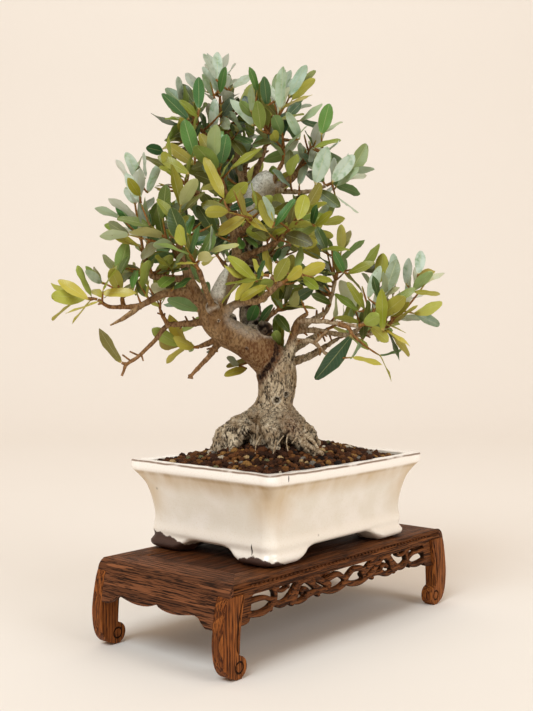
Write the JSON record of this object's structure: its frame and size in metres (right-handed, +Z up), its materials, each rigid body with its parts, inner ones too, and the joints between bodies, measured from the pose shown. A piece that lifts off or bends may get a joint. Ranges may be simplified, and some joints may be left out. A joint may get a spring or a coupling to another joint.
{
  "type": "olive bonsai in a pot on a stand",
  "caption": "Small olive tree with a forked trunk and leathery leaves, in a glazed footed pot on a low carved wooden stand.",
  "frame": {"origin": "on the floor, under the middle of the whole part's box", "axes": "+Z up, X along the stand's and the pot's long side, -Y out of the long side that faces the viewer"},
  "size_m": [0.3594, 0.2984, 0.5763],
  "materials": {
    "stand_wood": "dark reddish-brown open-grained hardwood, waxed, carved",
    "stand_panel": "dark reddish-brown open-grained hardwood, waxed",
    "pot_glaze": "cream glaze, glossy, tan where it pools, bare brown clay under the feet",
    "soil": "coarse brown granules with pale pumice",
    "drain_net": "black plastic mesh",
    "bark": "grey-beige pitted bark, smooth tan-brown on the limbs",
    "foliage": "leathery, satin green above, silvery grey-green below"
  },
  "bodies": {
    "root": {"drain_net_left": "drain_net", "drain_net_right": "drain_net", "leaf_hanging": "foliage", "leaf_low_left": "foliage", "leaf_under_left": "foliage", "pot": "pot_glaze", "soil": "soil", "spray_apex": "foliage", "spray_back_left": "foliage", "spray_back_low_left": "foliage", "spray_back_low_right": "foliage", "spray_back_right": "foliage", "spray_back_upper": "foliage", "spray_centre_low": "foliage", "spray_centre_mid": "foliage", "spray_centre_rear": "foliage", "spray_centre_right": "foliage", "spray_crown_back": "foliage", "spray_crown_front": "foliage", "spray_crown_low": "foliage", "spray_crown_right": "foliage", "spray_crown_side": "foliage", "spray_far_left": "foliage", "spray_far_left_up": "foliage", "spray_front_left": "foliage", "spray_front_mid": "foliage", "spray_left_inner": "foliage", "spray_left_outer": "foliage", "spray_left_pad": "foliage", "spray_left_rear": "foliage", "spray_low_left": "foliage", "spray_low_left_up": "foliage", "spray_mid_front": "foliage", "spray_mid_left": "foliage", "spray_right_far": "foliage", "spray_right_low": "foliage", "spray_right_mid": "foliage", "spray_right_pad": "foliage", "spray_right_rear": "foliage", "spray_right_top": "foliage", "spray_right_up": "foliage", "stand_end_apron_left": "stand_wood", "stand_end_apron_right": "stand_wood", "stand_end_board_left": "stand_wood", "stand_end_board_right": "stand_wood", "stand_fretwork_back": "stand_wood", "stand_fretwork_front": "stand_wood", "stand_leg_back_left": "stand_wood", "stand_leg_back_right": "stand_wood", "stand_leg_front_left": "stand_wood", "stand_leg_front_right": "stand_wood", "stand_rail_back": "stand_wood", "stand_rail_front": "stand_wood", "stand_top_panel": "stand_panel", "trunk_and_branches": "bark"}
  },
  "joints": []
}
